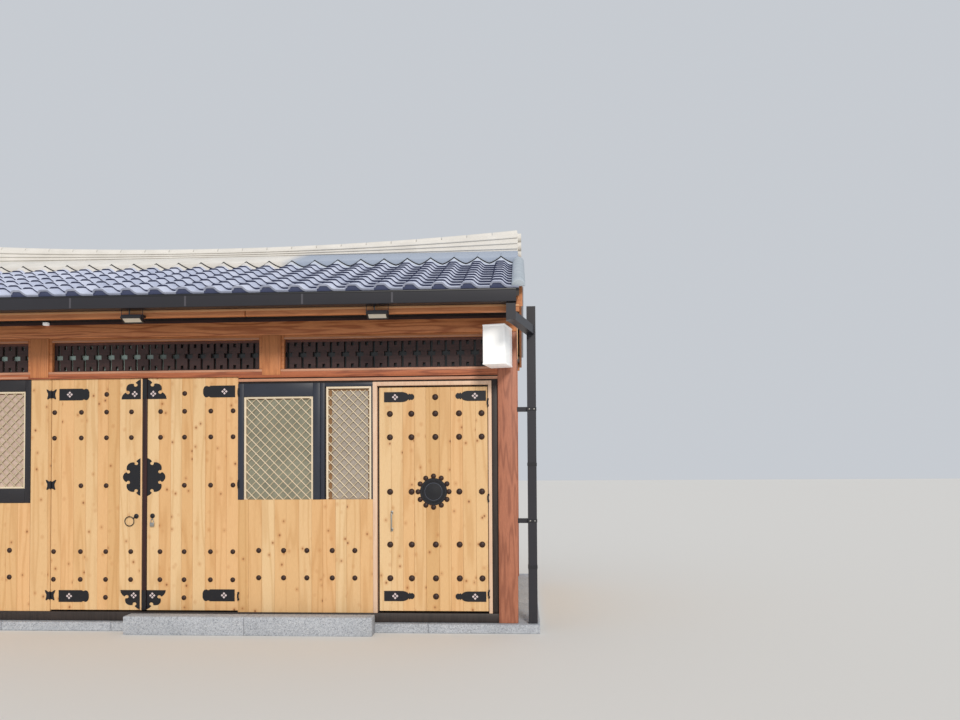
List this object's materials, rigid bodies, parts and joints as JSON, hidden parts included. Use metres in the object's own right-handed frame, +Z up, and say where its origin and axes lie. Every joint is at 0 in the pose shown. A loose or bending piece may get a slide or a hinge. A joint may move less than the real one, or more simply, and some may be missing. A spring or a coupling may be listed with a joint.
{
  "type": "hanok house",
  "caption": "Single-storey hanok house: timber frame on a granite plinth, pine-clad front with a gate and a door, lattice windows, wave-tile gabled roof.",
  "frame": {"origin": "middle of the building at ground level, under the plinth", "axes": "+X to the right of someone facing the front, +Y from the front to the back, +Z up"},
  "size_m": [7.56, 4.4, 4.3547],
  "materials": {
    "pine": "clear-coated pine boards with small knots",
    "beam": "reddish brown stained pine with strong grain",
    "dark_wood": "near-black stained timber",
    "window_frame": "blue-black painted timber",
    "maroon": "dark maroon painted strip",
    "sash": "pale slim sash with diagonal lattice and pane",
    "granite": "flamed blue-grey granite",
    "concrete": "trowelled concrete",
    "plaster": "lime plaster over an ochre dado",
    "gable_board": "red-brown boards with battens",
    "roof_tile": "blue-grey wave tiles",
    "ridge": "white plastered ridge courses",
    "gutter": "satin charcoal coating",
    "lamp": "white diffuser"
  },
  "bodies": {
    "house": {"bargeboard_left": "beam", "bargeboard_right": "beam", "base_beam_front": "dark_wood", "door_frame": "pine", "door_side_filler": "dark_wood", "downspout_left": "gutter", "downspout_right": "gutter", "eave_back": "beam", "eave_front": "beam", "floodlight_1": "gutter", "floodlight_2": "gutter", "floor_slab": "concrete", "gable_left": "gable_board", "gable_right": "gable_board", "gate_jamb_left": "pine", "gate_jamb_right": "pine", "gutter_back": "gutter", "gutter_front": "gutter", "lamp_box": "lamp", "plank_panel_end": "pine", "plank_panel_left": "pine", "plank_panel_right": "pine", "plinth": "granite", "post_back_left": "beam", "post_back_middle_left": "beam", "post_back_middle_right": "beam", "post_back_right": "beam", "post_front_left": "beam", "post_front_right": "beam", "ridge": "ridge", "roof_back": "roof_tile", "roof_front": "roof_tile", "sash_left_narrow": "sash", "sash_left_wide": "sash", "sash_right_narrow": "sash", "sash_right_wide": "sash", "sill_beam_front": "beam", "step_block_left": "granite", "step_block_right": "granite", "top_beam_back": "beam", "top_beam_front": "beam", "top_beam_left": "beam", "top_beam_right": "beam", "transom_left": "dark_wood", "transom_middle": "dark_wood", "transom_post_left": "beam", "transom_post_right": "beam", "transom_right": "dark_wood", "wall_back_left": "plaster", "wall_back_middle": "plaster", "wall_back_right": "plaster", "wall_left": "plaster", "wall_right": "plaster", "window_frame_left": "window_frame", "window_frame_right": "window_frame"},
    "gate_left": {"gate_leaf_left": "pine"},
    "gate_right": {"gate_astragal": "maroon", "gate_leaf_right": "pine"},
    "single_door": {"door_leaf": "pine"}
  },
  "joints": [
    {"name": "gate_left_hinge", "type": "hinge", "parent": "house", "child": "gate_left", "pos_m": [-1.06, -1.541, 1.33], "axis": [0, 0, -1], "range_deg": [0, 100]},
    {"name": "gate_right_hinge", "type": "hinge", "parent": "house", "child": "gate_right", "pos_m": [0.8415, -1.541, 1.33], "axis": [0, 0, 1], "range_deg": [0, 100]},
    {"name": "single_door_hinge", "type": "hinge", "parent": "house", "child": "single_door", "pos_m": [3.291, -1.541, 1.2775], "axis": [0, 0, 1], "range_deg": [0, 100]}
  ]
}
